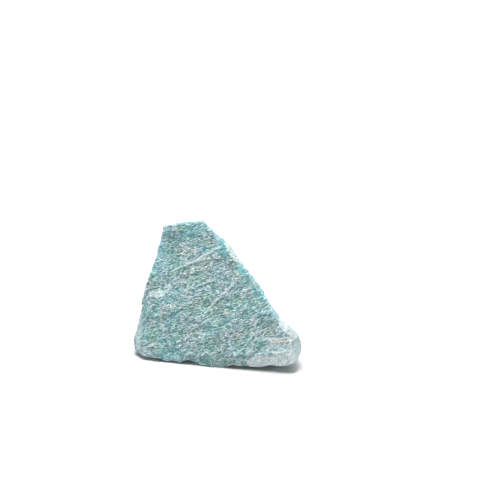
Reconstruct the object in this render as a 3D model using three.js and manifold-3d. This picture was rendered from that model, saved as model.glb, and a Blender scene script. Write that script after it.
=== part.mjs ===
/**
 * A rough piece of amazonite, the blue-green microcline feldspar, as it comes from the hammer: one broad
 * cleavage face, walls that step from one cleavage sheet to the next, and a back of ledges and hackly breaks.
 *
 * Units are millimetres and +Z is up. The stone is worked out in the frame of its cleavage face
 * (x across the face, y up its slope, z out of it), then leaned back, turned and broken level where it rests.
 * The finished part has its origin in the middle of its box, at the level that it rests on, and faces -Y.
 */
import * as THREE from "three";
import { ImprovedNoise } from "three/addons/math/ImprovedNoise.js";
import { mergeVertices } from "three/addons/utils/BufferGeometryUtils.js";
import Module from "manifold-3d";

const wasm = await Module();
wasm.setup();

// ---------------------------------------------------------------- driving dimensions, mm and degrees

const FACE_LEAN = 20; // how far the cleavage face leans back from upright
const FACE_TURN = 15; // how far its left side is turned away
const GRAIN = 1.6; // size of the facets
const FACE_GRAIN = 1.25; // and on the cleavage face, which has the finest relief
const GROUND = -1.2; // the level that it rests on, below the foot of the cleavage face
const CUTTER_REACH = 46; // half the width of a cutting block, more than the stone's own reach
const SHEET = 4.4; // thickness of one cleavage sheet
const LEDGE = 2.2; // how far one sheet may stand in or out of the next at the walls
const SHARP_EDGE = 2; // how far the walls run straight back from the cleavage face
const WALL_SKEW = 0.2; // how far the walls bear to the left for each millimetre behind the face
const TAPER = 0.0064; // share of its width that the stone loses for each millimetre behind that
const BLOCK_LENGTH = 9; // the blocks of a blocky break, along the sheets
const BLOCK_HEIGHT = 6; // and across them
const BLOCK_STEP = 4.5; // and how far they may stand in or out
const SEAT_LENGTH = 38; // the flat that it rests on, side to side
const SEAT_WIDTH = 24; // and front to back
const SEAT_LIFT = 1.2; // how far the underside rises around that flat
const STONE_COLOUR = "#9fc3c3";

// The cleavage face's outline, [across, up its slope], anticlockwise from the bottom left.
const OUTLINE = [
  [-34.6, 1.3], [-32.2, 1], [-30.1, -0.2], [-28.7, -0.7], [-26.2, -0.7], [-22.1, -0.1], [-16.6, 0],
  [-12.4, -0.4], [-9.2, -1.1], [-7.1, -1], [-4.8, -0.3], [-2.6, 0.2], [3, 0.6], [8.8, 1],
  [11.1, 1.8], [16.8, 2.4], [18.6, 3], [20.6, 4], [22, 6.9], [22.3, 9.4], [21.8, 11.5], [19, 14.3],
  [15.9, 16], [13.3, 17.7], [9.1, 22.9], [5.9, 27.3], [0.9, 32.4], [-2.6, 36.2], [-6.1, 40.4],
  [-9.4, 42.5], [-13.1, 45.1], [-15.9, 47.5], [-19, 46.6], [-21.8, 46.2], [-25.2, 45.4], [-29, 44.3],
  [-29.5, 41.6], [-30.7, 34.1], [-32.7, 27], [-34.1, 20], [-35.1, 11.3], [-35.9, 6.3], [-35.5, 3],
];
const MIDDLE = new THREE.Vector2(-8, 20); // what the walls draw in towards, behind the face
const FRONT_SPARE = 5; // the raw block starts this far in front of the cleavage face
const BLOCK_DEPTH = 48; // and is this deep before its back is broken off

// ---------------------------------------------------------------- the textures of broken feldspar

const perlin = new ImprovedNoise();

/** Fractal noise of about -1 to 1, whose broadest lumps are size millimetres across. */
function lumps(x, y, z, size, octaves = 3) {
  let height = 0;
  for (let octave = 0; octave < octaves; octave++) {
    const fold = 2 ** octave / size;
    height += perlin.noise(x * fold + 31 * octave, y * fold, z * fold + 7.3) / 1.8 ** octave;
  }
  return height;
}

/** A flight of steps that rises one unit in each unit of run, nearly all of it at the end of the tread. */
function stairs(run, riser = 0.16) {
  const tread = Math.floor(run);
  return tread + THREE.MathUtils.smoothstep(run - tread, 1 - riser, 1);
}

/** The fine wavy ribs of the cleavage face, on a few shallow cleavage steps. */
function cleavage(x, y) {
  const along = x * 0.94 + y * 0.34;
  const across = y * 0.94 - x * 0.34;
  const swell = 0.34 * lumps(x, y, 0, 19, 2);
  const ribs = 0.24 * lumps(along / 3.4, across, 4, 3.1, 2);
  const flight = (across + 3 * lumps(x, y, 11, 13, 2)) / 12;
  return swell + ribs + 0.5 * (stairs(flight) - flight + 0.5);
}

/** An uneven, splintery break. */
function hackle(x, y, seed) {
  const splinters = Math.abs(lumps(x / 2.2, y, seed + 5, 5.5, 2));
  return 2.2 * lumps(x, y, seed, 14, 2) - 1.9 * splinters + 0.6;
}

/** A break that climbs from sheet to sheet in ledges. */
function ledges(x, y, seed) {
  const flight = (y + 3.4 * lumps(x, y, seed, 14, 2)) / SHEET;
  return 1.6 * (stairs(flight) - flight) + 0.6 * lumps(x / 2, y, seed, 4, 2);
}

/** A break in blocks that have parted from one another along both cleavages. */
function blocks(x, y, seed) {
  const column = Math.round((x + 2.2 * lumps(x, y, seed, 10, 2)) / BLOCK_LENGTH);
  const row = Math.round((y + 0.25 * x + 2.2 * lumps(y, x, seed, 10, 2)) / BLOCK_HEIGHT);
  const step = BLOCK_STEP * perlin.noise(0.62 * column + 0.3, 0.57 * row + 0.4, seed);
  return step + 0.55 * lumps(x / 2, y, seed, 4.5, 2);
}

/** A nearly smooth bevel, such as a knocked edge leaves. */
function smooth(x, y, seed) {
  return 0.34 * lumps(x, y, seed, 7, 3);
}

/** The underside: all but flat in the middle, and clear of the ground around that. */
function underside(x, y, seed) {
  const away = 2 * Math.hypot(x / SEAT_LENGTH, y / SEAT_WIDTH);
  return 0.5 - (SEAT_LIFT + 0.5) * THREE.MathUtils.smoothstep(away, 0.75, 1.6) + 0.5 * lumps(x, y, seed, 6);
}

/** The level flat that the stone rests on. */
function level() {
  return 0;
}

// Each break as the flat that it follows: a point on it, the way it faces and its texture.
// The first group is placed in the frame of the cleavage face, the second in the standing stone's.
const FACE_BREAKS = [
  { name: "cleavage face", at: [-6, 23, 0], facing: [0, 0, 1], relief: cleavage, grain: FACE_GRAIN },
  { name: "left bevel", at: [-32.5, 12, 0], facing: [-0.6, -0.05, 0.8], relief: smooth },
  { name: "right strip", at: [-4.7, 38, 0], facing: [0.57, 0.49, 0.66], relief: smooth },
  { name: "pale corner", at: [16, 9.6, 0], facing: [0.69, 0.1, 0.7], relief: smooth },
  { name: "pale foot", at: [9.5, 5.2, 0], facing: [0.06, -0.42, 0.9], relief: smooth },
];
const STANDING_BREAKS = [
  { name: "upper back", at: [-1.5, 28, 34], facing: [0.04, 0.91, 0.4], relief: ledges },
  { name: "lower back", at: [1, 30.5, 8], facing: [0.2, 0.97, -0.16], relief: hackle },
  { name: "left back", at: [-24, 28.5, 16], facing: [-0.6, 0.79, 0.03], relief: blocks },
  { name: "right back", at: [17, 20, 10], facing: [0.72, 0.62, 0.3], relief: ledges },
  { name: "underside", at: [-4, 15, GROUND], facing: [0, 0, -1], relief: underside },
  { name: "seat", at: [0, 0, GROUND], facing: [0, 0, -1], relief: level, grain: 2 * CUTTER_REACH },
];

// Square steps where a block has parted along both cleavages, in the frame of the cleavage face:
// the middle of the lost block, its size, and its turn about the way that the face looks.
const LOST_BLOCKS = [
  { name: "right shoulder", at: [17, 32, -30], size: [30, 34, 26], turn: -6 },
  { name: "left shoulder", at: [-41, 42, -21], size: [21, 30, 18], turn: 9 },
  { name: "middle of the back", at: [-16, 31, -31.5], size: [21, 28, 22], turn: -12 },
  { name: "right wall", at: [23.5, 24, -9], size: [16, 9, 10], turn: 33 },
];

// Shell-shaped chips, as balls sunk into an edge of the standing stone: [x, y, z] and radius.
const CHIPS = [
  { at: [-34, 14.5, 30], radius: 6.5 },
  { at: [26.5, 15, -1.5], radius: 5 },
];

// ---------------------------------------------------------------- making and cutting solids

/** A geometry as a solid to cut or join, with its vertices merged by place alone. */
function solidOf(geometry) {
  geometry.deleteAttribute("normal").deleteAttribute("uv");
  const merged = mergeVertices(geometry, 1e-3);
  return new wasm.Manifold(
    new wasm.Mesh({
      numProp: 3,
      vertProperties: merged.getAttribute("position").array,
      triVerts: new Uint32Array(merged.index.array),
    }),
  );
}

/** A solid back as a geometry. */
function geometryOf(solid) {
  const { vertProperties, triVerts } = solid.getMesh();
  return new THREE.BufferGeometry()
    .setAttribute("position", new THREE.BufferAttribute(vertProperties, 3))
    .setIndex(new THREE.BufferAttribute(triVerts, 1));
}

/** Moves each vertex of a geometry by a function that changes a THREE.Vector3 in place. */
function reshape(geometry, move) {
  const position = geometry.getAttribute("position");
  const vertex = new THREE.Vector3();
  for (let i = 0; i < position.count; i++) {
    move(vertex.fromBufferAttribute(position, i));
    position.setXYZ(i, vertex.x, vertex.y, vertex.z);
  }
  return geometry;
}

/** The raw block: the outline drawn back from the face, with walls that narrow and step at each sheet. */
function rawBlock() {
  const outline = new THREE.Shape(OUTLINE.map(([x, y]) => new THREE.Vector2(x, y)));
  outline.closePath();
  const rim = outline.getSpacedPoints(Math.round(outline.getLength() / GRAIN));
  const depth = FRONT_SPARE + BLOCK_DEPTH;
  const geometry = new THREE.ExtrudeGeometry(new THREE.Shape(rim), {
    depth,
    steps: Math.round(depth / GRAIN),
    bevelEnabled: false,
  }).translate(0, 0, FRONT_SPARE - depth);
  return solidOf(
    reshape(geometry, (vertex) => {
      const behind = Math.max(0, -vertex.z - SHARP_EDGE);
      const sheet = Math.floor((1.2 * lumps(vertex.x, vertex.y, 2, 12, 1) - vertex.z) / SHEET);
      const ledge = sheet > 0 ? LEDGE * (lumps(vertex.x, vertex.y, 9.7 * sheet, 11, 2) - 0.45) : 0;
      const crumbs = 0.35 * lumps(vertex.x, vertex.y, vertex.z, 3.4, 2);
      const spoke = new THREE.Vector2(vertex.x, vertex.y).sub(MIDDLE);
      const share = 1 - TAPER * behind + (ledge + crumbs) / spoke.length();
      vertex.x = MIDDLE.x + spoke.x * share + WALL_SKEW * vertex.z;
      vertex.y = MIDDLE.y + spoke.y * share;
    }),
  );
}

/** Breaks off all of the stone that lies beyond a flat, and leaves the flat's texture on it. */
function breakOff(stone, { at, facing, relief, grain = GRAIN }, seed) {
  const width = 2 * CUTTER_REACH;
  const cells = Math.round(width / grain);
  const block = new THREE.BoxGeometry(width, width, width, cells, cells, 1).translate(0, 0, CUTTER_REACH);
  reshape(block, (vertex) => {
    if (vertex.z < CUTTER_REACH) vertex.z = relief(vertex.x, vertex.y, 13.7 * seed);
  });
  const outward = new THREE.Vector3(...facing).normalize();
  block.applyQuaternion(new THREE.Quaternion().setFromUnitVectors(new THREE.Vector3(0, 0, 1), outward));
  return stone.subtract(solidOf(block.translate(...at)));
}

/** Takes out one block that has parted along both cleavages, with the fine steps of its walls. */
function loseBlock(stone, { at, size, turn }, seed) {
  const cells = size.map((side) => Math.round(side / GRAIN));
  const block = new THREE.BoxGeometry(...size, ...cells);
  reshape(block, (vertex) => {
    const sheet = Math.round(vertex.z / SHEET);
    vertex.x += 0.9 * lumps(3 * seed, vertex.y, 5 * sheet, 9, 2);
    vertex.y += 0.9 * lumps(vertex.x, 3 * seed, 5 * sheet, 9, 2);
    vertex.z += 0.8 * lumps(vertex.x / 2, vertex.y, 3 * seed, 6, 2);
  });
  return stone.subtract(solidOf(block.rotateZ(THREE.MathUtils.degToRad(turn)).translate(...at)));
}

/** Takes one shell-shaped chip out of the stone. */
function chipOff(stone, { at, radius }) {
  const ball = new THREE.IcosahedronGeometry(radius, Math.round(radius / GRAIN) + 1);
  reshape(ball, (vertex) => vertex.multiplyScalar(1 + 0.05 * lumps(vertex.x, vertex.y, vertex.z, 3, 2)));
  return stone.subtract(solidOf(ball.translate(...at)));
}

/** The turn from the frame of the cleavage face to that of the standing stone. */
function stance() {
  const across = new THREE.Vector3(1, 0, 0);
  const upSlope = new THREE.Vector3(0, 0, 1);
  const outward = new THREE.Vector3(0, -1, 0);
  const lean = new THREE.Matrix4().makeRotationX(-THREE.MathUtils.degToRad(FACE_LEAN));
  const turn = new THREE.Matrix4().makeRotationZ(-THREE.MathUtils.degToRad(FACE_TURN));
  return turn.multiply(lean).multiply(new THREE.Matrix4().makeBasis(across, upSlope, outward));
}

/** The whole stone as one mesh, resting at z 0 with the middle of its box above the origin. */
function amazonite() {
  const inFaceFrame = LOST_BLOCKS.reduce(loseBlock, FACE_BREAKS.reduce(breakOff, rawBlock()));
  const standing = solidOf(geometryOf(inFaceFrame).applyMatrix4(stance()));
  const broken = STANDING_BREAKS.reduce(breakOff, CHIPS.reduce(chipOff, standing));
  const geometry = geometryOf(broken);
  geometry.computeBoundingBox();
  geometry.computeVertexNormals();
  const middle = geometry.boundingBox.getCenter(new THREE.Vector3());
  const material = new THREE.MeshStandardMaterial({
    color: STONE_COLOUR, roughness: 0.62, metalness: 0, flatShading: true,
  });
  const mesh = new THREE.Mesh(geometry, material);
  mesh.name = "amazonite_stone";
  mesh.position.set(-middle.x, -middle.y, -GROUND);
  return mesh;
}

const part = new THREE.Group();
part.add(amazonite());

export default part;
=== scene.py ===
"""Dresses a rough piece of amazonite: the fine surface of broken feldspar, and its blue-green colour.

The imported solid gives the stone's shape. A copy of it is remade as an even skin, its facets are eased into
broken rock, and the fine relief of pale albite ribs in blue-green microcline is raised on it. The same field
of ribs drives the relief and the colour, so that each pale rib also stands proud.

All sizes are in metres unless a name ends in _mm or a note says so. +Z is up and the stone faces -Y.
"""

import logging
import math
from collections.abc import Callable, Sequence
from dataclasses import dataclass, field
from enum import Enum
from typing import NamedTuple, Union

import bmesh
import bpy
import numpy as np
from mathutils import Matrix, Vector


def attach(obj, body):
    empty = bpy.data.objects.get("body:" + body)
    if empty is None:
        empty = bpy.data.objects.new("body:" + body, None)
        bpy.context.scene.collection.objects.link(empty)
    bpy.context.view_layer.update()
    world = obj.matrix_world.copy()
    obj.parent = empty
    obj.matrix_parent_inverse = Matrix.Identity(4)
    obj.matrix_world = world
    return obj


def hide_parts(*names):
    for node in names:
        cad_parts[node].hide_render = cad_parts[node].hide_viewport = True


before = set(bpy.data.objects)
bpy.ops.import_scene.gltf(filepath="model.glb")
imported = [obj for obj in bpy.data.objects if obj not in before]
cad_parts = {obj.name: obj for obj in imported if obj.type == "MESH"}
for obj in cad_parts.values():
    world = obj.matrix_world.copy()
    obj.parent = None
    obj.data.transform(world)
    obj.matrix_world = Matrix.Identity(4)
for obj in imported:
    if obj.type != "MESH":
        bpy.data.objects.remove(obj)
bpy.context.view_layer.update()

LOG = logging.getLogger("amazonite")
STONE_NODE = "amazonite_stone"
ROOT_BODY = "root"
EDGE = "edge"  # the attribute that says how sharply each point of the surface stands out, from 0 to 1
MM = 0.001
IMAGE_SIZE = 500
RED, GREEN = Vector((1, 0, 0)), Vector((0, 1, 0))  # each picks one channel of a colour

Socket = bpy.types.NodeSocket
Number = Union[Socket, float]
Pair = tuple[float, float]
Triple = tuple[float, float, float]
Colour = tuple[float, float, float, float]


@dataclass(frozen=True)
class CleavageFrame:
    """The frame of the stone's cleavage face, with its origin at the middle of the face's foot."""

    lean: float = math.radians(20)
    turn: float = math.radians(15)
    foot: Vector = field(default_factory=lambda: Vector((6.17, -16.36, 1.2)) * MM)

    @property
    def across(self) -> Vector:
        """The direction across the face, to the viewer's right."""
        return Vector((math.cos(self.turn), -math.sin(self.turn), 0))

    @property
    def outward(self) -> Vector:
        """The direction that the face looks in."""
        level = Vector((-math.sin(self.turn), -math.cos(self.turn), 0))
        return level * math.cos(self.lean) + Vector((0, 0, math.sin(self.lean)))

    @property
    def up_slope(self) -> Vector:
        """The direction up the face."""
        return self.outward.cross(self.across)

    def place(self, across_mm: float, up_mm: float, out_mm: float = 0.0) -> Vector:
        """A point on or near the face.

        Args:
            across_mm: millimetres across the face, from its middle.
            up_mm: millimetres up its slope.
            out_mm: millimetres out of it.

        Returns:
            The point in the part's own frame, in metres.
        """
        offset = self.across * across_mm + self.up_slope * up_mm + self.outward * out_mm
        return self.foot + offset * MM

    def grain(self, rise: float) -> tuple[Vector, Vector, Vector]:
        """The directions along, behind and across ribs that rise by an angle to the right on the face.

        Args:
            rise: the ribs' slope on the face, in radians.

        Returns:
            Unit vectors along the ribs, out of the face and across the ribs.
        """
        along = self.across * math.cos(rise) + self.up_slope * math.sin(rise)
        return along, self.outward, self.outward.cross(along)


FACE = CleavageFrame()


class Tint(Enum):
    """What a patch of the stone is richer in than the rest, or, for the glow, where light through a thin edge
    is painted.
    """

    ALBITE = "albite"  # nearly white
    TEAL = "teal"  # a stronger blue-green
    GLOW = "painted_glow"  # painted light: a light cyan glow, painted where light would come through a thin edge
    RUST = "rust"  # a faint tan stain


@dataclass(frozen=True)
class Patch:
    """A cloud of a tint around a point of the cleavage face's frame, in millimetres."""

    at: Triple
    size: Triple  # about half its width along its turn, across it and out of the face
    strength: float
    turn: float = 0.0  # how much it rises to the right, in radians


PATCHES = {
    Tint.ALBITE: (
        Patch((20.3, 8.6, -3.0), (4.2, 7.0, 7.0), 0.55, 0.07),
        Patch((15.5, 4.6, -2.0), (6.5, 3.0, 5.0), 0.7, 0.3),
        Patch((8.0, 2.9, -1.0), (5.6, 2.3, 4.0), 0.7, 0.25),
        Patch((16.2, 14.6, -1.0), (5.0, 1.5, 4.0), 0.8, -0.7),
        Patch((10.5, 10.9, 0.0), (3.6, 0.4, 2.0), 0.6, 0.15),
        Patch((12.6, 7.9, 0.0), (5.0, 1.6, 3.0), 0.35, 0.2),
        Patch((-4.4, 37.3, -1.0), (4.8, 1.2, 4.0), 0.5, -0.87),
        Patch((-6.1, 39.8, 0.0), (1.1, 1.1, 2.0), 0.6),
        Patch((-29.4, 21.7, 0.0), (3.2, 1.3, 2.0), 0.65, 0.17),
        Patch((-25.8, 23.8, 0.0), (2.0, 1.3, 2.0), 0.35, 0.8),
        Patch((-30.4, 1.6, 0.0), (3.4, 0.5, 4.0), 0.4, -0.5),
        Patch((-35.2, 11.0, -1.0), (1.6, 12.0, 5.0), 0.3, 0.08),
        Patch((-9.8, 25.4, -26.0), (9.0, 5.0, 8.0), 0.5, 0.55),
    ),
    # Painted glow: light cyan laid along the thin edges, where light would come through them.
    Tint.GLOW: (
        Patch((-35.0, 14.0, -1.0), (1.2, 16.0, 5.0), 0.6, 0.08),
        Patch((-30.0, 35.0, 0.0), (1.8, 9.0, 2.0), 0.6, -0.21),
        Patch((-28.8, 30.0, 0.0), (2.6, 5.0, 2.0), 0.3, -0.2),
        Patch((-22.0, 46.0, 0.0), (9.0, 0.8, 3.0), 0.55, 0.24),
        Patch((-12.6, 44.6, 0.0), (5.0, 0.8, 3.0), 0.55, -0.66),
        Patch((-8.6, 41.0, 0.0), (2.8, 1.6, 1.8), 0.8, -0.75),
        Patch((1.9, 31.7, 0.0), (5.5, 0.8, 1.6), 0.8, -0.8),
        Patch((7.6, 25.0, 0.0), (4.5, 0.8, 1.6), 0.8, -0.93),
        Patch((11.4, 19.4, 0.0), (3.5, 1.0, 1.8), 0.7, -0.9),
        Patch((13.6, 15.4, 0.0), (5.0, 1.4, 2.0), 0.3, -0.85),
    ),
    Tint.TEAL: (
        Patch((-7.2, 38.0, 0.5), (2.0, 1.3, 3.0), 0.8, -0.7),
        Patch((-0.9, 32.2, 0.5), (3.6, 1.5, 3.0), 1.0, -0.75),
        Patch((5.5, 25.0, 0.5), (3.6, 1.9, 3.0), 0.6, -0.35),
        Patch((-18.2, 43.4, 0.0), (6.0, 2.0, 3.0), 0.35, 0.35),
        Patch((-22.9, 2.4, 0.0), (4.0, 1.2, 3.0), 0.3, 0.08),
        Patch((-32.4, 11.8, 0.5), (0.6, 11.0, 2.0), 0.5, 0.09),
        Patch((-21.6, 14.5, -20.0), (8.0, 6.0, 8.0), 0.5, 0.26),
    ),
    Tint.RUST: (
        Patch((14.2, 10.5, 0.0), (4.2, 1.3, 3.0), 0.6, 0.2),
        Patch((-4.5, 17.6, 0.0), (1.3, 1.0, 2.0), 0.4, 0.5),
        Patch((17.6, 13.0, 0.0), (2.6, 1.6, 3.0), 0.25, -0.7),
        Patch((3.3, 14.3, -24.0), (9.0, 3.0, 6.0), 0.6, 0.46),
    ),
}


@dataclass(frozen=True)
class Vein:
    """A long pale vein on the cleavage face, from one point to another, in millimetres."""

    start: Pair
    end: Pair
    width: float
    strength: float


VEINS = (
    Vein((-24.8, 29.6), (-15.2, 34.7), 0.38, 1.0),
    Vein((-16.3, 34.2), (-8.4, 39.7), 0.4, 1.0),
    Vein((-20.6, 23.1), (-10.5, 27.8), 0.3, 0.8),
    Vein((-12.6, 16.6), (-2.9, 28.2), 0.36, 0.9),
    Vein((-0.9, 25.0), (3.6, 27.0), 0.3, 0.7),
    Vein((-23.8, 24.9), (-23.7, 32.0), 0.28, 0.7),
    Vein((-1.2, 3.4), (6.9, 13.5), 0.34, 0.8),
    Vein((3.4, 2.8), (7.3, 15.1), 0.32, 0.6),
    Vein((5.7, 4.9), (18.4, 7.8), 0.36, 0.7),
    Vein((17.0, 11.9), (18.1, 7.1), 0.3, 0.8),
)


@dataclass(frozen=True)
class Swell:
    """A place where the surface is drawn out a little from the solid, in the cleavage face's millimetres."""

    at: Triple
    reach: float
    push: Triple  # across, up and out, at its middle


SWELLS = (
    Swell((-35.4, 4.0, -1.0), 6.5, (-1.1, -0.4, 0.2)),
    Swell((23.4, 9.4, -3.0), 5.0, (0.9, 0.2, 0.2)),
    Swell((19.6, 14.0, -2.0), 3.0, (-0.3, -0.2, 0.0)),
    Swell((-27.5, 0.0, 0.0), 4.0, (0.0, 0.4, 0.2)),
    Swell((-16.0, -0.6, 0.0), 4.0, (0.0, 0.7, 0.0)),
    Swell((-9.0, -0.8, 0.0), 3.0, (0.0, -0.3, 0.3)),
    Swell((2.0, -0.6, 0.0), 4.0, (0.0, -0.3, 0.4)),
)


class Fade(NamedTuple):
    """A smooth change of a result, while what drives it goes from one number to another."""

    start: float
    end: float
    to: Pair = (0.0, 1.0)  # the result at the start and at the end


class Net:
    """A node tree with short ways to add nodes, the same for shader trees and geometry trees."""

    def __init__(self, tree: bpy.types.NodeTree) -> None:
        """Keeps the tree that the nodes go into."""
        self.tree = tree

    def node(self, kind: str, **settings: object) -> bpy.types.Node:
        """Adds a node.

        Args:
            kind: its type.
            settings: its properties, by name.

        Returns:
            The node.
        """
        made = self.tree.nodes.new(kind)
        for name, value in settings.items():
            setattr(made, name, value)
        return made

    def feed(self, socket: Socket, value: object) -> None:
        """Links a socket to another, or sets its value.

        Args:
            socket: the input to fill.
            value: the output that it takes its value from, or the value itself.
        """
        if isinstance(value, Socket):
            self.tree.links.new(value, socket)
        else:
            socket.default_value = value

    def math(self, operation: str, *values: Number) -> Socket:
        """Adds one arithmetic step.

        Args:
            operation: the Math node's operation.
            values: one or two sockets or numbers.

        Returns:
            The result's socket.
        """
        made = self.node("ShaderNodeMath", operation=operation)
        for socket, value in zip(made.inputs, values):
            self.feed(socket, value)
        return made.outputs[0]

    def total(self, *values: Number) -> Socket:
        """Adds up several sockets or numbers.

        Args:
            values: two or more sockets or numbers.

        Returns:
            The sum's socket.
        """
        running = values[0]
        for value in values[1:]:
            running = self.math("ADD", running, value)
        return running

    def times(self, first: Number, second: Number) -> Socket:
        """The product of two sockets or numbers."""
        return self.math("MULTIPLY", first, second)

    def swing(self, value: Socket, reach: Number) -> Socket:
        """A value from 0 to 1 as a push from minus to plus half of a reach."""
        return self.times(self.math("SUBTRACT", value, 0.5), reach)

    def vector(self, operation: str, first: object, second: object) -> Socket:
        """Adds one vector step.

        Args:
            operation: the Vector Math node's operation.
            first: a socket or a vector.
            second: a socket or a vector, or what scales the first.

        Returns:
            The result's socket: a number for a dot product or a length, and else a vector.
        """
        made = self.node("ShaderNodeVectorMath", operation=operation)
        self.feed(made.inputs[0], first)
        self.feed(made.inputs["Scale"] if operation == "SCALE" else made.inputs[1], second)
        return made.outputs["Value"] if operation in ("DOT_PRODUCT", "LENGTH") else made.outputs[0]

    def dot(self, first: Socket, second: Vector) -> Socket:
        """How far a vector's socket reaches along a direction."""
        return self.vector("DOT_PRODUCT", first, second)

    def measured(self, at: Socket, axes: Sequence[Vector], spans: Sequence[float]) -> Socket:
        """Measures a place along three axes.

        Args:
            at: the place.
            axes: the axes' unit vectors.
            spans: what makes one unit along each of them.

        Returns:
            The socket with the place in those units.
        """
        made = self.node("ShaderNodeCombineXYZ")
        for socket, axis, span in zip(made.inputs, axes, spans):
            self.feed(socket, self.dot(at, axis / span))
        return made.outputs[0]

    def ease(self, value: Number, start: float, end: float, to: Pair = (0.0, 1.0)) -> Socket:
        """Maps a value smoothly from a range to another, and holds it at the ends.

        Args:
            value: the socket to map.
            start: where the result leaves to[0].
            end: where it reaches to[1].
            to: the results at the two ends.

        Returns:
            The result's socket.
        """
        made = self.node("ShaderNodeMapRange", interpolation_type="SMOOTHSTEP")
        for socket, setting in zip(made.inputs, (value, start, end, *to)):
            self.feed(socket, setting)
        return made.outputs[0]

    def between(self, share: Socket, first: float, second: float) -> Socket:
        """Goes smoothly from the first number, where a share is 0, to the second, where it is 1."""
        return self.ease(share, 0.0, 1.0, (first, second))

    def noise(self, at: Socket, size: float, detail: float = 2, roughness: float = 0.5) -> bpy.types.Node:
        """Adds Perlin noise.

        Args:
            at: the place.
            size: how wide its largest lumps are, in the place's unit.
            detail: how many finer layers it has.
            roughness: how strong each finer layer is beside the one before.

        Returns:
            The noise node.
        """
        made = self.node("ShaderNodeTexNoise", noise_dimensions="3D")
        self.feed(made.inputs["Vector"], at)
        made.inputs["Scale"].default_value = 1 / size
        made.inputs["Detail"].default_value = detail
        made.inputs["Roughness"].default_value = roughness
        return made

    def cells(self, at: Socket, feature: str = "F1", distance: str = "EUCLIDEAN") -> bpy.types.Node:
        """Adds Voronoi cells, about one for each unit of a place.

        Args:
            at: the place.
            feature: what the node measures.
            distance: how it measures.

        Returns:
            The Voronoi node.
        """
        made = self.node("ShaderNodeTexVoronoi", feature=feature, distance=distance)
        self.feed(made.inputs["Vector"], at)
        made.inputs["Scale"].default_value = 1.0
        return made

    def blend(self, share: Number, first: object, second: object, kind: str = "MIX") -> Socket:
        """Mixes two colours.

        Args:
            share: how much of the second is taken, from 0 to 1.
            first: a colour or its socket.
            second: the same.
            kind: the Mix node's blend type.

        Returns:
            The mixed colour's socket.
        """
        made = self.node("ShaderNodeMix", data_type="RGBA", blend_type=kind)
        for index, value in ((0, share), (6, first), (7, second)):
            self.feed(made.inputs[index], value)
        return made.outputs[2]


@dataclass(frozen=True)
class Ribs:
    """The sockets of one rib field. Each but the first runs from 0 to about 1."""

    at_mm: Socket
    front: Socket  # 1 on the cleavage face
    lines: Socket  # the thin sheets of all sets
    cells: Socket  # a number of its own for each cell between the sheets
    strokes: Socket  # soft dashes along the ribs
    veins: Socket
    crumbs: Socket
    clouds: Socket


@dataclass(frozen=True)
class Sheets:
    """One set of thin pale sheets, in millimetres."""

    turn: float  # how much steeper the sheets run than the field, in radians
    length: float
    spacing: float
    seam: float  # how far a sheet's flank reaches from its middle, as a share of the spacing
    crest: float  # how far its full height reaches, as a share of the seam
    weight: float  # how much the set counts in the lines


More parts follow.
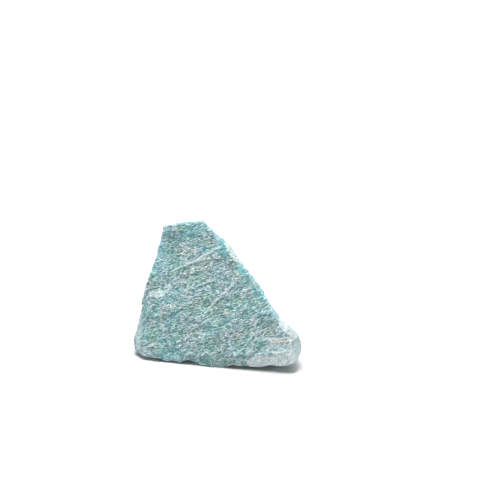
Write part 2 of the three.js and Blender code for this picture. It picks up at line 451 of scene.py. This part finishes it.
@dataclass(frozen=True)
class PerthiteField:
    """Perthite: pale ribs of albite that run through the microcline, with sizes in millimetres."""

    rise: float = math.radians(30)
    lace: Sheets = Sheets(turn=0.0, length=1.5, spacing=0.62, seam=0.25, crest=0.2, weight=0.7)
    runs: Sheets = Sheets(turn=-0.08, length=6.0, spacing=0.95, seam=0.24, crest=0.3, weight=0.4)
    crossing: Sheets = Sheets(
        turn=math.radians(24), length=6.0, spacing=1.3, seam=0.18, crest=0.3, weight=0.35
    )
    stray: float = 5.0  # how far a long sheet strays from its row, in rows
    stray_width: float = 3.0  # how many rows stray together
    break_length: float = 0.6  # how long a piece of a broken sheet is, as a share of the sheets' length
    own_strength: float = 0.24  # how much less the strongest long sheets are broken than the weakest
    breaks: Fade = Fade(0.42, 0.64)
    stroke: Pair = (1.5, 0.34)  # length and width
    gap_size: float = 1.6  # of the gaps in the lines
    gaps: Fade = Fade(0.36, 0.54, (0.5, 1.0))  # from how strong the lines are in a gap
    face_depth: Fade = Fade(-2.4, -1.0)  # out of its plane, where the face's look starts and is full
    off_face: float = 0.35  # how strong the lines are off the cleavage face
    off_face_stroke: float = 0.6  # and how strong the strokes are there
    ragged: float = 0.8  # how far the small noise throws a sheet off its line
    ragged_size: float = 1.3
    sway: float = 2.6
    sway_size: float = 15.0
    bend: float = 0.017  # how fast the ribs steepen to the right of bend_from, in 1/mm
    bend_from: float = -6.0
    crumb_size: float = 0.6
    cloud_size: float = 7.0
    vein_sway: float = 1.5
    vein_sway_size: float = 2.2
    vein_flank: float = 1.6  # how far a vein's flank reaches, as a share of its width
    vein_crest: float = 0.3  # and its full height
    vein_taper: float = 1.0  # how long half of a vein's fading end is
    vein_depth: Fade = Fade(4.0, 2.0)  # how far behind the face the veins fade out
    clear_rim: Pair = (0.4, 1.6)  # how much crumbs break a pale patch's rim, and where it ends, in its sizes
    soft_rim: Pair = (0.9, 2.0)  # the same for the other patches
    rim_clouds: float = 0.6
    rim_inner: float = 1.25  # where a patch reaches its full strength, in its sizes

    def lay(self, net: Net, place: Socket) -> Ribs:
        """Adds the field to a tree.

        Args:
            net: the shader or geometry tree.
            place: the socket with the point's place, in metres.

        Returns:
            The field's sockets.
        """
        at_mm = net.vector("SCALE", place, 1 / MM)
        swayed = at_mm
        for size, reach in ((self.sway_size, self.sway), (self.ragged_size, self.ragged)):
            drift = net.noise(at_mm, size, detail=1).outputs["Color"]
            swayed = net.vector("ADD", swayed, net.vector("SCALE", drift, reach))
        swayed = net.vector("ADD", swayed, self._bend(net, at_mm))
        out_of_face = net.math("ADD", net.dot(at_mm, FACE.outward), -FACE.foot.dot(FACE.outward) / MM)
        front = net.ease(out_of_face, *self.face_depth)
        lines, cells = self._lines(net, swayed)
        gaps = net.noise(at_mm, self.gap_size, detail=1).outputs[0]
        lines = net.times(lines, net.between(front, self.off_face, 1.0))
        lines = net.times(lines, net.ease(gaps, *self.gaps))
        dashes = net.noise(self._along_grain(net, swayed, 0.0, *self.stroke), 1.0, roughness=0.7).outputs[0]
        dashes = net.times(dashes, net.between(front, self.off_face_stroke, 1.0))
        strokes = net.total(dashes, net.between(front, (1 - self.off_face_stroke) / 2, 0.0))
        crumbs = net.noise(at_mm, self.crumb_size, detail=3, roughness=0.7).outputs[0]
        clouds = net.noise(at_mm, self.cloud_size, detail=3).outputs[0]
        return Ribs(at_mm, front, lines, cells, strokes, self._veins(net, at_mm), crumbs, clouds)

    def patches(self, net: Net, laid: Ribs, tint: Tint) -> Socket:
        """All the patches of one tint together, with ragged rims.

        Args:
            net: the tree.
            laid: the field's sockets in that tree.
            tint: the tint to gather.

        Returns:
            A socket from 0 to 1.
        """
        crumb_share, outer = self.clear_rim if tint is Tint.ALBITE else self.soft_rim
        strongest: Number = 0.0
        for patch in PATCHES[tint]:
            along, outward, up = FACE.grain(patch.turn)
            away = net.vector("SUBTRACT", laid.at_mm, FACE.place(*patch.at) / MM)
            parts = [net.dot(away, axis / span) for axis, span in zip((along, up, outward), patch.size)]
            ragged = net.total(
                net.math("SQRT", net.total(*(net.times(part, part) for part in parts))),
                net.times(laid.crumbs, crumb_share),
                net.times(laid.clouds, self.rim_clouds),
            )
            share = net.ease(ragged, outer, self.rim_inner, (0.0, patch.strength))
            strongest = net.math("MAXIMUM", strongest, share)
        return strongest

    def _lines(self, net: Net, at: Socket) -> tuple[Socket, Socket]:
        """Adds the sheets of all sets.

        Args:
            net: the tree.
            at: the socket with the place, in millimetres.

        Returns:
            A socket that is highest on the sheets and 0 between them, and each cell's own number.
        """
        lace, cells = self._lattice(net, at, self.lace)
        runs, crossing = (self._stripes(net, at, sheets) for sheets in (self.runs, self.crossing))
        layers = ((lace, self.lace), (runs, self.runs), (crossing, self.crossing))
        return net.total(*(net.times(layer, sheets.weight) for layer, sheets in layers)), cells

    def _lattice(self, net: Net, at: Socket, sheets: Sheets) -> tuple[Socket, Socket]:
        """Adds one set of thin sheets that run together in a net around long cells.

        Args:
            net: the tree.
            at: the socket with the place, in millimetres.
            sheets: the set.

        Returns:
            A socket that is 1 on the sheets and 0 inside the cells, and each cell's own number.
        """
        place = self._along_grain(net, at, sheets.turn, sheets.length, sheets.spacing)
        off_seam = net.cells(place, "DISTANCE_TO_EDGE").outputs["Distance"]
        own = net.dot(net.cells(place).outputs["Color"], RED)
        return net.ease(off_seam, sheets.seam, sheets.crest * sheets.seam), own

    def _stripes(self, net: Net, at: Socket, sheets: Sheets) -> Socket:
        """Adds one set of long sheets, side by side, each broken and with a strength of its own.

        Args:
            net: the tree.
            at: the socket with the place, in millimetres.
            sheets: the set.

        Returns:
            A socket that is 1 in the strongest sheets and 0 between them.
        """
        across = FACE.grain(self.rise + sheets.turn)[2]
        wide = self._along_grain(net, at, sheets.turn, sheets.length, self.stray_width * sheets.spacing)
        stray = net.times(net.noise(wide, 1.0, detail=1).outputs[0], self.stray)
        row = net.total(net.dot(at, across / sheets.spacing), stray)
        own = net.node("ShaderNodeTexWhiteNoise", noise_dimensions="1D")
        net.feed(own.inputs["W"], net.math("FLOOR", row))
        off_middle = net.math("ABSOLUTE", net.math("SUBTRACT", net.math("FRACT", row), 0.5))
        short = self._along_grain(net, at, sheets.turn, self.break_length * sheets.length, sheets.spacing)
        breaks = net.noise(short, 1.0, detail=1).outputs[0]
        kept = net.total(breaks, net.times(own.outputs["Value"], self.own_strength))
        sheet = net.ease(off_middle, sheets.seam, sheets.crest * sheets.seam)
        return net.times(sheet, net.ease(kept, *self.breaks))

    def _along_grain(self, net: Net, at: Socket, turn: float, length: float, width: float) -> Socket:
        """The place measured along, behind and across the grain.

        Args:
            net: the tree.
            at: the socket with the place, in millimetres.
            turn: how much steeper than the field the grain runs, in radians.
            length: millimetres along and behind that make one unit.
            width: millimetres across that make one unit.

        Returns:
            The socket with the place in those units.
        """
        return net.measured(at, FACE.grain(self.rise + turn), (length, length, width))

    def _bend(self, net: Net, at_mm: Socket) -> Socket:
        """The shift down the face that turns the ribs steeper towards its right.

        Args:
            net: the tree.
            at_mm: the socket with the place, in millimetres.

        Returns:
            The socket with the shift, in millimetres.
        """
        start = FACE.place(self.bend_from, 0.0) / MM
        beyond = net.dot(net.vector("SUBTRACT", at_mm, start), FACE.across)
        beyond = net.math("MAXIMUM", beyond, 0.0)
        return net.vector("SCALE", FACE.up_slope * (-self.bend / 2), net.times(beyond, beyond))

    def _veins(self, net: Net, at_mm: Socket) -> Socket:
        """The long pale veins of the cleavage face together.

        Args:
            net: the tree.
            at_mm: the socket with the place, in millimetres.

        Returns:
            A socket from 0 to 1.
        """
        strongest: Number = 0.0
        sway = net.swing(net.noise(at_mm, self.vein_sway_size).outputs[0], self.vein_sway)
        for vein in VEINS:
            start, end = FACE.place(*vein.start) / MM, FACE.place(*vein.end) / MM
            along = (end - start).normalized()
            half = (end - start).length / 2
            away = net.vector("SUBTRACT", at_mm, (start + end) / 2)
            off_line = net.math("ABSOLUTE", net.total(net.dot(away, FACE.outward.cross(along)), sway))
            off_middle = net.math("ABSOLUTE", net.dot(away, along))
            behind = net.math("ABSOLUTE", net.dot(away, FACE.outward))
            flank, crest = self.vein_flank * vein.width, self.vein_crest * vein.width
            share = net.times(
                net.ease(off_line, flank, crest, (0.0, vein.strength)),
                net.ease(off_middle, half + self.vein_taper, half - self.vein_taper),
            )
            share = net.times(share, net.ease(behind, *self.vein_depth))
            strongest = net.math("MAXIMUM", strongest, share)
        return strongest


@dataclass(frozen=True)
class SurfaceRelief:
    """How far the fine surface stands in or out, in millimetres."""

    line: float = 0.27
    cell: float = 0.08
    vein: float = 0.3
    crumb: float = 0.1
    stroke: float = 0.12
    pale_roughness: float = 0.5  # how rough the pale patches are, as a share of the rest
    edge_roughness: Fade = Fade(0.3, 0.8, (1.0, 0.5))  # the same for edges, by how sharp they are
    wall_roughness: Fade = Fade(0.5, 0.85, (0.6, 1.0))  # and for walls, by how much they face forwards
    sink: float = 0.1  # keeps the mean surface where the solid has it
    flake: float = 0.45
    flakes: Triple = (3.4, 2.6, 1.6)  # along, behind and across the ribs
    flake_rise: float = 0.45  # in radians
    flake_faces: Fade = Fade(0.6, 0.85, (1.0, 0.3))  # flakes are lower on the cleavage face
    chip: float = 0.5
    chip_size: float = 2.6
    chip_edges: Fade = Fade(0.25, 0.9)  # how sharp an edge is where chips start
    chip_bites: Fade = Fade(0.46, 0.66)
    swell_core: float = 0.2  # how much of a swell's reach has its full push

    def modifier_tree(self, ribs: PerthiteField) -> bpy.types.GeometryNodeTree:
        """Makes the node group that raises the relief along each point's normal.

        Args:
            ribs: the rib field that the relief follows.

        Returns:
            The node group for a Nodes modifier.
        """
        tree = bpy.data.node_groups.new("fine_relief", "GeometryNodeTree")
        for way in ("INPUT", "OUTPUT"):
            tree.interface.new_socket("Geometry", in_out=way, socket_type="NodeSocketGeometry")
        net = Net(tree)
        laid = ribs.lay(net, net.node("GeometryNodeInputPosition").outputs[0])
        normal = net.node("GeometryNodeInputNormal").outputs[0]
        height = self._height(net, ribs, laid, net.dot(normal, FACE.outward))
        offset = net.vector("SCALE", normal, net.times(height, MM))
        move = net.node("GeometryNodeSetPosition")
        net.feed(move.inputs["Geometry"], net.node("NodeGroupInput").outputs[0])
        net.feed(move.inputs["Offset"], net.vector("ADD", offset, self._swell(net, laid.at_mm)))
        net.feed(net.node("NodeGroupOutput").inputs[0], move.outputs[0])
        return tree

    def _height(self, net: Net, ribs: PerthiteField, laid: Ribs, facing: Socket) -> Socket:
        """How far each point is moved out along its normal.

        Args:
            net: the geometry tree.
            ribs: the rib field.
            laid: its sockets in that tree.
            facing: the socket that is 1 where the surface looks the same way as the cleavage face.

        Returns:
            The height's socket, in millimetres.
        """
        edge = net.node("GeometryNodeInputNamedAttribute", data_type="FLOAT")
        edge.inputs["Name"].default_value = EDGE
        sharp = edge.outputs["Attribute"]
        grain = net.total(
            net.times(laid.lines, self.line),
            net.times(laid.cells, self.cell),
            net.swing(laid.crumbs, self.crumb),
            net.swing(laid.strokes, self.stroke),
        )
        pale = net.between(ribs.patches(net, laid, Tint.ALBITE), 1.0, self.pale_roughness)
        rough = net.times(net.ease(sharp, *self.edge_roughness), pale)
        rough = net.times(rough, net.ease(facing, *self.wall_roughness))
        return net.total(
            -self.sink,
            net.times(grain, rough),
            net.times(laid.veins, self.vein),
            net.times(self._flakes(net, laid.at_mm, facing), self.flake),
            net.times(net.times(self._chips(net, laid.at_mm, sharp), pale), -self.chip),
        )

    def _swell(self, net: Net, at_mm: Socket) -> Socket:
        """How far the surface is drawn out of the solid near its swells.

        Args:
            net: the geometry tree.
            at_mm: the socket with the place, in millimetres.

        Returns:
            The socket with the shift, in metres.
        """
        drawn: object = Vector((0, 0, 0))
        for swell in SWELLS:
            away = net.vector("SUBTRACT", at_mm, FACE.place(*swell.at) / MM)
            far = net.vector("LENGTH", away, Vector())
            push = FACE.place(*swell.push) - FACE.foot
            share = net.ease(far, swell.reach, self.swell_core * swell.reach)
            drawn = net.vector("ADD", net.vector("SCALE", push, share), drawn)
        return drawn

    def _flakes(self, net: Net, at_mm: Socket, facing: Socket) -> Socket:
        """Small flat cleavage flakes, each at its own height.

        Args:
            net: the geometry tree.
            at_mm: the socket with the place, in millimetres.
            facing: the socket that is 1 where the surface looks the same way as the cleavage face.

        Returns:
            A socket from -0.5 to 0.5.
        """
        place = net.measured(at_mm, FACE.grain(self.flake_rise), self.flakes)
        own = net.dot(net.cells(place, distance="CHEBYCHEV").outputs["Color"], RED)
        return net.swing(own, net.ease(facing, *self.flake_faces))

    def _chips(self, net: Net, at_mm: Socket, sharp: Socket) -> Socket:
        """How much is chipped off a sharp edge, from 0 to 1."""
        bites = net.noise(at_mm, self.chip_size, roughness=0.55).outputs[0]
        return net.times(net.ease(sharp, *self.chip_edges), net.ease(bites, *self.chip_bites))


@dataclass(frozen=True)
class Tone:
    """How light the stone is, from dark microcline at 0 to white albite at 1, and what adds to it."""

    ground: float = 0.15
    line: float = 0.58
    cells: Pair = (-0.2, 0.14)  # for the darkest cell and the lightest
    stroke: float = 1.1
    dashes: Fade = Fade(0.46, 0.32, (0.0, -0.42))  # the lowest strokes are dark dashes
    crumb: float = 0.4
    grit: float = 0.7
    grit_mm: float = 0.33
    cloud: float = 0.3
    wall: float = 0.08
    vein: float = 0.9  # a vein's own tone
    vein_cover: float = 0.75  # how much a vein hides of what it crosses

    def lay(self, net: Net, laid: Ribs) -> Socket:
        """Adds the tone to a tree.

        Args:
            net: the shader tree.
            laid: the rib field's sockets in that tree.

        Returns:
            The tone's socket.
        """
        tone = net.total(
            self.ground,
            net.times(laid.lines, self.line),
            net.between(laid.cells, *self.cells),
            net.swing(laid.strokes, self.stroke),
            net.ease(laid.strokes, *self.dashes),
            net.swing(laid.crumbs, self.crumb),
            net.swing(net.noise(laid.at_mm, self.grit_mm, detail=0).outputs[0], self.grit),
            net.swing(laid.clouds, self.cloud),
            net.between(laid.front, self.wall, 0.0),
        )
        veined = net.times(laid.veins, self.vein_cover)
        bare = net.math("SUBTRACT", 1.0, veined)
        return net.total(net.times(tone, bare), net.times(veined, self.vein))


@dataclass(frozen=True)
class AmazoniteFinish:
    """The colour and sheen of amazonite. Colours are linear, and sizes are in millimetres."""

    tone: Tone = Tone()
    tones: tuple[tuple[float, Colour], ...] = (  # the colour at each of five tones
        (0.0, (0.07, 0.18, 0.18, 1)),
        (0.3, (0.18, 0.315, 0.32, 1)),
        (0.55, (0.3, 0.43, 0.44, 1)),
        (0.8, (0.46, 0.565, 0.58, 1)),
        (1.0, (0.66, 0.74, 0.76, 1)),
    )
    albite: Colour = (0.8, 0.83, 0.83, 1)
    teal: Colour = (0.11, 0.43, 0.47, 1)
    # the colour of the painted glow, where light would come through a thin edge
    painted_glow: Colour = (0.25, 0.52, 0.59, 1)
    # the colour of the painted edge light: a painted highlight and glow along sharp edges
    painted_edge_light: Colour = (0.49, 0.64, 0.67, 1)
    rust: Colour = (0.8, 0.68, 0.58, 1)
    greener: Colour = (0.87, 0.99, 0.97, 1)
    pinker: Colour = (1.09, 0.975, 0.98, 1)
    olive: Colour = (1.02, 1.0, 0.94, 1)
    blue: Colour = (0.985, 0.99, 1.045, 1)
    sand: Colour = (0.52, 0.56, 0.47, 1)
    cast_size: float = 5.5
    cast_sides: Fade = Fade(0.4, 0.6)  # from one cast to its opposite
    cast_share: Fade = Fade(0.5, 1.0, (1.0, 0.45))  # casts are weaker on pale ribs
    stain_size: float = 5.0
    sand_stain: Fade = Fade(0.54, 0.68, (0.0, 0.5))
    teal_stain: Fade = Fade(0.46, 0.34, (0.0, 0.35))
    teal_share: Fade = Fade(0.9, 0.2, (0.25, 0.7))  # teal is strongest between the ribs
    # where the painted edge light lies: on sharp edges, broken by clouds, and weaker off the cleavage face
    painted_edge_light_sharpness: Fade = Fade(0.2, 0.9)
    rim_clouds: Fade = Fade(0.36, 0.6, (0.2, 0.6))
    painted_edge_light_off_face: float = 0.5
    lit_share: Fade = Fade(0.2, 0.6, (0.5, 1.0))  # less light comes through dark spots
    painted_glow_share: float = 0.9
    albite_share: float = 0.85
    albite_ribs: float = 0.4  # how much of the ribs shows in a pale patch
    albite_lift: float = 0.3  # how much lighter they are there
    rust_share: float = 0.5
    roughness: Fade = Fade(0.2, 1.0, (0.42, 0.62))
    refraction: float = 1.53
    specular: float = 0.4
    bump: float = 0.8
    bump_mm: float = 0.12
    bump_size: float = 0.28
    bump_lines: float = 0.9

    def material(self, ribs: PerthiteField) -> bpy.types.Material:
        """Makes the stone's material.

        Args:
            ribs: the rib field that the colour follows.

        Returns:
            The material.
        """
        made = bpy.data.materials.new("amazonite")
        made.use_nodes = True
        net = Net(made.node_tree)
        laid = ribs.lay(net, net.node("ShaderNodeTexCoord").outputs["Object"])
        tone = self.tone.lay(net, laid)
        colour = self._stained(net, laid, self._cast(net, laid, tone))
        tints = {tint: ribs.patches(net, laid, tint) for tint in Tint}
        shader = made.node_tree.nodes["Principled BSDF"]
        net.feed(shader.inputs["Base Color"], self._tinted(net, laid, tone, tints, colour))
        net.feed(shader.inputs["Roughness"], net.ease(tone, *self.roughness))
        shader.inputs["IOR"].default_value = self.refraction
        shader.inputs["Specular IOR Level"].default_value = self.specular
        bump = net.node("ShaderNodeBump")
        bump.inputs["Strength"].default_value = self.bump
        bump.inputs["Distance"].default_value = self.bump_mm * MM
        fine = net.noise(laid.at_mm, self.bump_size, roughness=0.6).outputs[0]
        net.feed(bump.inputs["Height"], net.total(fine, net.times(laid.lines, self.bump_lines)))
        net.feed(shader.inputs["Normal"], bump.outputs[0])
        return made

    def _cast(self, net: Net, laid: Ribs, tone: Socket) -> Socket:
        """The plain colour for the tone, with slow casts from greener to pinker and from olive to blue.

        Args:
            net: the shader tree.
            laid: the rib field's sockets in that tree.
            tone: the tone's socket.

        Returns:
            The colour's socket.
        """
        hue = net.noise(laid.at_mm, self.cast_size, detail=3, roughness=0.55).outputs["Color"]
        share = net.ease(tone, *self.cast_share)
        colour = self._ramp(net, tone)
        for pick, low, high in ((RED, self.greener, self.pinker), (GREEN, self.olive, self.blue)):
            cast = net.blend(net.ease(net.dot(hue, pick), *self.cast_sides), low, high)
            colour = net.blend(share, colour, cast, "MULTIPLY")
        return colour

    def _stained(self, net: Net, laid: Ribs, colour: Socket) -> Socket:
        """Lays faint sand and teal stains on the walls and the back.

        Args:
            net: the shader tree.
            laid: the rib field's sockets in that tree.
            colour: the colour's socket without them.

        Returns:
            The colour's socket with them.
        """
        stain = net.noise(laid.at_mm, self.stain_size, detail=3, roughness=0.65).outputs[0]
        off_face = net.ease(laid.front, 1.0, 0.0)
        for fade, tinge in ((self.sand_stain, self.sand), (self.teal_stain, self.teal)):
            colour = net.blend(net.times(net.ease(stain, *fade), off_face), colour, tinge)
        return colour

    def _tinted(
        self, net: Net, laid: Ribs, tone: Socket, tints: dict[Tint, Socket], colour: Socket
    ) -> Socket:
        """Lays the patches of all tints, the painted glow among them, and the painted light along the edges
        on the colour.

        Args:
            net: the shader tree.
            laid: the rib field's sockets in that tree.
            tone: the tone's socket.
            tints: the socket of each tint's patches.
            colour: the colour's socket without them.

        Returns:
            The colour's socket with them.
        """
        edge = net.node("ShaderNodeAttribute", attribute_name=EDGE).outputs["Fac"]
        # Painted edge light: a painted highlight and glow along the sharpest edges.
        painted_edge_light = net.times(net.ease(edge, *self.painted_edge_light_sharpness), net.ease(laid.clouds, *self.rim_clouds))
        painted_edge_light = net.times(painted_edge_light, net.between(laid.front, self.painted_edge_light_off_face, 1.0))
        lit = net.ease(tone, *self.lit_share)
        pale = net.blend(self.albite_ribs, self.albite, self._ramp(net, net.total(tone, self.albite_lift)))
        layers = (
            (net.times(tints[Tint.TEAL], net.ease(tone, *self.teal_share)), self.teal),
            # the painted glow along the thin edges
            (net.times(net.times(tints[Tint.GLOW], self.painted_glow_share), lit), self.painted_glow),
            (net.times(painted_edge_light, lit), self.painted_edge_light),
            (net.times(tints[Tint.ALBITE], self.albite_share), pale),
            (net.times(tints[Tint.RUST], self.rust_share), self.rust),
        )
        for share, tinge in layers:
            colour = net.blend(share, colour, tinge)
        return colour

    def _ramp(self, net: Net, tone: Socket) -> Socket:
        """The colour for a tone from 0 to 1.

        Args:
            net: the shader tree.
            tone: the tone's socket.

        Returns:
            The colour's socket.
        """
        ramp = net.node("ShaderNodeValToRGB")
        points = ramp.color_ramp.elements
        while len(points) < len(self.tones):
            points.new(0.5)
        for point, (stop, colour) in zip(points, self.tones):
            point.position = stop
            point.color = colour
        net.feed(ramp.inputs["Fac"], tone)
        return ramp.outputs["Color"]


def put(name: str, data: bpy.types.ID) -> bpy.types.Object:
    """Puts a new object in the scene.

    Args:
        name: the object's name.
        data: its mesh, light or camera.

    Returns:
        The object.
    """
    made = bpy.data.objects.new(name, data)
    bpy.context.scene.collection.objects.link(made)
    return made


def put_mesh(name: str, shape: bmesh.types.BMesh) -> bpy.types.Object:
    """Puts a finished shape in the scene as a mesh object, and frees it.

    Args:
        name: the object's name, and its mesh's.
        shape: the shape.

    Returns:
        The object.
    """
    mesh = bpy.data.meshes.new(name)
    shape.to_mesh(mesh)
    shape.free()
    return put(name, mesh)


@dataclass
class AmazoniteStone:
    """The stone itself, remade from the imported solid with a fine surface. Sizes are in metres."""

    merge_reach: float = 0.002 * MM
    skin_size: float = 0.22 * MM
    triangles: int = 196_000
    ease_rounds: int = 2
    ease_factor: float = 0.5
    edge_rounds: int = 60
    edge_shares: Pair = (0.3, 0.7)  # how much a point keeps its place and follows its neighbours, in a round
    edge_scale: float = 0.5 * MM  # how far out a point stands on the sharpest edges
    ribs: PerthiteField = field(default_factory=PerthiteField)
    relief: SurfaceRelief = field(default_factory=SurfaceRelief)
    finish: AmazoniteFinish = field(default_factory=AmazoniteFinish)

    def build(self) -> bpy.types.Object:
        """Returns:
            The finished object.
        """
        stone = self._merged_copy()
        self._apply(stone, self._even_skin)
        self._apply(stone, self._ease_facets)
        self._mark_edges(stone)
        self._apply(stone, self._raise_relief)
        self._apply(stone, self._thin)
        self._seat(stone)
        stone.data.materials.clear()
        stone.data.materials.append(self.finish.material(self.ribs))
        stone.data.shade_smooth()
        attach(stone, ROOT_BODY)
        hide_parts(STONE_NODE)
        return stone

    def _merged_copy(self) -> bpy.types.Object:
        """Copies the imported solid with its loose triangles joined.

        Returns:
            The copy.
        """
        shape = bmesh.new()
        shape.from_mesh(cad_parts[STONE_NODE].data)
        bmesh.ops.remove_doubles(shape, verts=shape.verts, dist=self.merge_reach)
        bmesh.ops.recalc_face_normals(shape, faces=shape.faces)
        return put_mesh("amazonite_fine", shape)

    def _apply(self, made: bpy.types.Object, add: Callable[[bpy.types.Object], None]) -> None:
        """Adds a modifier to an object, and makes its result the object's own mesh.

        Args:
            made: the object.
            add: what adds the modifier to it.
        """
        add(made)
        bpy.context.view_layer.update()
        done = made.evaluated_get(bpy.context.evaluated_depsgraph_get())
        mesh = bpy.data.meshes.new_from_object(done)
        made.modifiers.clear()
        made.data = mesh

    def _even_skin(self, made: bpy.types.Object) -> None:
        """Adds the modifier that remakes the surface in even quads.

        Args:
            made: the object.
        """
        skin = made.modifiers.new("skin", "REMESH")
        skin.mode = "VOXEL"
        skin.voxel_size = self.skin_size
        skin.use_smooth_shade = True

    def _ease_facets(self, made: bpy.types.Object) -> None:
        """Adds the modifier that eases the hard facets.

        Args:
            made: the object.
        """
        eased = made.modifiers.new("ease", "SMOOTH")
        eased.factor = self.ease_factor
        eased.iterations = self.ease_rounds

    def _raise_relief(self, made: bpy.types.Object) -> None:
        """Adds the modifier that raises the fine relief."""
        raised = made.modifiers.new("relief", "NODES")
        raised.node_group = self.relief.modifier_tree(self.ribs)

    def _thin(self, made: bpy.types.Object) -> None:
        """Adds the modifier that takes triangles out where the surface is flattest.

        Args:
            made: the object.
        """
        made.data.calc_loop_triangles()
        thinned = made.modifiers.new("thinned", "DECIMATE")
        thinned.ratio = min(1.0, self.triangles / len(made.data.loop_triangles))

    def _mark_edges(self, made: bpy.types.Object) -> None:
        """Stores how sharply each point stands out, as the attribute edge.

        The points are eased towards their neighbours for many rounds. That draws an edge in and leaves a flat
        where it is, so an edge is as sharp as its points lie out of their eased places.

        Args:
            made: the object, with an even skin.
        """
        mesh = made.data
        count = len(mesh.vertices)
        place = self._read(mesh.vertices, "co", 3, np.float32).astype(float)
        normal = self._read(mesh.vertices, "normal", 3, np.float32)
        pairs = self._read(mesh.edges, "vertices", 2, np.int32)
        first, second = pairs.T
        links = np.bincount(pairs.ravel(), minlength=count)
        stay, follow = self.edge_shares
        eased = place.copy()
        for _ in range(self.edge_rounds):
            for axis in range(3):
                ends = eased[:, axis]
                pull = np.bincount(first, ends[second], count) + np.bincount(second, ends[first], count)
                eased[:, axis] = stay * ends + follow * pull / links
        stands_out = ((place - eased) * normal).sum(1) / self.edge_scale
        edge = mesh.attributes.new(EDGE, "FLOAT", "POINT")
        edge.data.foreach_set("value", np.clip(stands_out, 0, 1).astype(np.float32))

    @staticmethod
    def _read(items: bpy.types.bpy_prop_collection, name: str, width: int, kind: type) -> np.ndarray:
        """Reads one property of all the points or edges of a mesh.

        Args:
            items: the points or edges.
            name: the property.
            width: how many numbers it has.
            kind: the type of its numbers.

        Returns:
            The numbers, in a row for each point or edge.
        """
        values = np.zeros(len(items) * width, kind)
        items.foreach_get(name, values)
        return values.reshape(-1, width)

    def _seat(self, made: bpy.types.Object) -> None:
        """Keeps the underside no lower than the level that the stone rests on."""
        for vertex in made.data.vertices:
            vertex.co.z = max(vertex.co.z, 0.0)


@dataclass(frozen=True)
class SoftBox:
    """One square light that looks at the stone, in metres and watts."""

    name: str
    place: Triple
    side: float
    watts: float
    aim: Triple = (0.0, 0.0, 0.02)

    def hang(self) -> None:
        """Puts the light in the scene."""
        data = bpy.data.lights.new(self.name, "AREA")
        data.shape = "SQUARE"
        data.size = self.side
        data.energy = self.watts
        lamp = put(self.name, data)
        lamp.location = self.place
        lamp.rotation_euler = (Vector(self.aim) - Vector(self.place)).to_track_quat("-Z", "Y").to_euler()


@dataclass
class Studio:
    """The plain white table, the soft lights and the camera. Sizes are in metres."""

    table_side: float = 1.0
    table_white: float = 0.66
    table_roughness: float = 0.7
    table_specular: float = 0.2
    sky_strength: float = 0.3
    wall_strength: float = 0.64
    skirting_strength: float = 1.0
    skirting_top: Pair = (0.12, 0.28)  # where its light fades into the walls', as sines of the height
    wall_top: Pair = (0.3, 0.5)  # and where the walls' light fades into the sky's
    boxes: tuple[SoftBox, ...] = (
        SoftBox("key", (-0.04, -0.06, 0.96), 0.5, 14.6),
        SoftBox("back", (0.3, 0.6, 0.9), 0.6, 3.6),
    )
    picture_mm: float = 0.33  # what one pixel of the picture spans at the stone
    foot_pixel: Pair = (236, 368)  # where the foot of the cleavage face stands in the picture
    camera_distance: float = 0.6
    camera_height: float = math.radians(22)
    camera_reach: Pair = (0.01, 20)  # the nearest and the farthest that it sees
    sensor_mm: float = 36.0

    def build(self) -> None:
        """Makes the whole studio."""
        self._camera()
        self._table()
        self._sky()
        for box in self.boxes:
            box.hang()
        bpy.context.scene.view_settings.view_transform = "Standard"
        bpy.context.scene.view_settings.look = "None"

    def _camera(self) -> None:
        """Makes the camera, which looks a little down on the stone."""
        ahead = Vector((0, math.cos(self.camera_height), -math.sin(self.camera_height)))
        above = Vector((0, math.sin(self.camera_height), math.cos(self.camera_height)))
        foot_across, foot_down = self.foot_pixel
        right = (IMAGE_SIZE / 2 - foot_across) * self.picture_mm * MM
        up = (foot_down - IMAGE_SIZE / 2) * self.picture_mm * MM
        target = FACE.foot + Vector((right, 0, 0)) + above * up
        data = bpy.data.cameras.new("camera")
        data.sensor_width = self.sensor_mm
        data.lens = self.sensor_mm * self.camera_distance / (IMAGE_SIZE * self.picture_mm * MM)
        data.clip_start, data.clip_end = self.camera_reach
        camera = put("camera", data)
        camera.location = target - ahead * self.camera_distance
        camera.rotation_euler = ahead.to_track_quat("-Z", "Y").to_euler()
        bpy.context.scene.camera = camera

    def _table(self) -> None:
        """Makes the white table top."""
        shape = bmesh.new()
        bmesh.ops.create_grid(shape, x_segments=1, y_segments=1, size=self.table_side / 2)
        table = put_mesh("table", shape)
        paint = bpy.data.materials.new("white_table")
        paint.use_nodes = True
        shader = paint.node_tree.nodes["Principled BSDF"]
        shader.inputs["Base Color"].default_value = (*[self.table_white] * 3, 1)
        shader.inputs["Roughness"].default_value = self.table_roughness
        shader.inputs["Specular IOR Level"].default_value = self.table_specular
        table.data.materials.append(paint)

    def _sky(self) -> None:
        """Fills the room with soft white light, brightest at the walls' foot and dimmest at the ceiling."""
        world = bpy.data.worlds.new("room")
        world.use_nodes = True
        light = world.node_tree.nodes["Background"]
        light.inputs["Color"].default_value = (1, 1, 1, 1)
        net = Net(world.node_tree)
        looking = net.node("ShaderNodeTexCoord").outputs["Generated"]
        height = net.dot(looking, Vector((0, 0, 1)))
        above = net.ease(height, *self.wall_top, (self.wall_strength, self.sky_strength))
        below = net.ease(height, *self.skirting_top, (self.skirting_strength - self.wall_strength, 0.0))
        net.feed(light.inputs["Strength"], net.total(above, below))
        bpy.context.scene.world = world


def main() -> None:
    """Builds the studio and the stone, and reports the stone."""
    logging.basicConfig(level=logging.INFO, format="%(message)s")
    Studio().build()
    stone = AmazoniteStone().build()
    LOG.info("%s: %d vertices, %d faces", stone.name, len(stone.data.vertices), len(stone.data.polygons))


if __name__ == "__main__":
    main()
